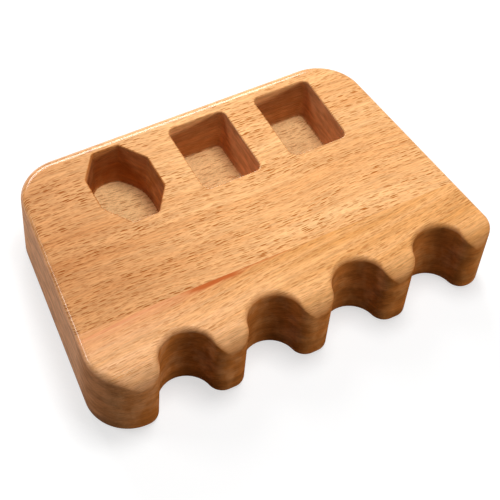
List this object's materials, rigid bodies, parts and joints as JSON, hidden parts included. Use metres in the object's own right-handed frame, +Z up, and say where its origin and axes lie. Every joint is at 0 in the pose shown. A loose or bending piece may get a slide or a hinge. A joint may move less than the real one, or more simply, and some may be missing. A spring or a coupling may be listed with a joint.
{
  "type": "billiard cue rest with chalk pockets",
  "caption": "Weighted hardwood block with a scalloped front edge that holds leaning cues, and chalk pockets sunk in its top.",
  "frame": {"origin": "centre of the footprint, on the surface that the feet stand on", "axes": "+X across the block towards the square pockets' end, +Y towards the back edge, away from the cue notches, +Z up"},
  "size_m": [0.1594, 0.1034, 0.032],
  "materials": {
    "beech": "clear satin lacquer over steamed beech",
    "ballast_steel": "cold-drawn flat bar, lightly oiled",
    "screw_steel": "zinc plated",
    "foot_rubber": "matt moulded rubber"
  },
  "bodies": {
    "root": {"rear_stave": "beech", "front_stave": "beech", "rear_ballast_bar": "ballast_steel", "front_ballast_bar": "ballast_steel", "ballast_screws": "screw_steel", "foot_rear_left": "foot_rubber", "foot_rear_right": "foot_rubber", "foot_front_left": "foot_rubber", "foot_front_right": "foot_rubber"}
  },
  "joints": []
}
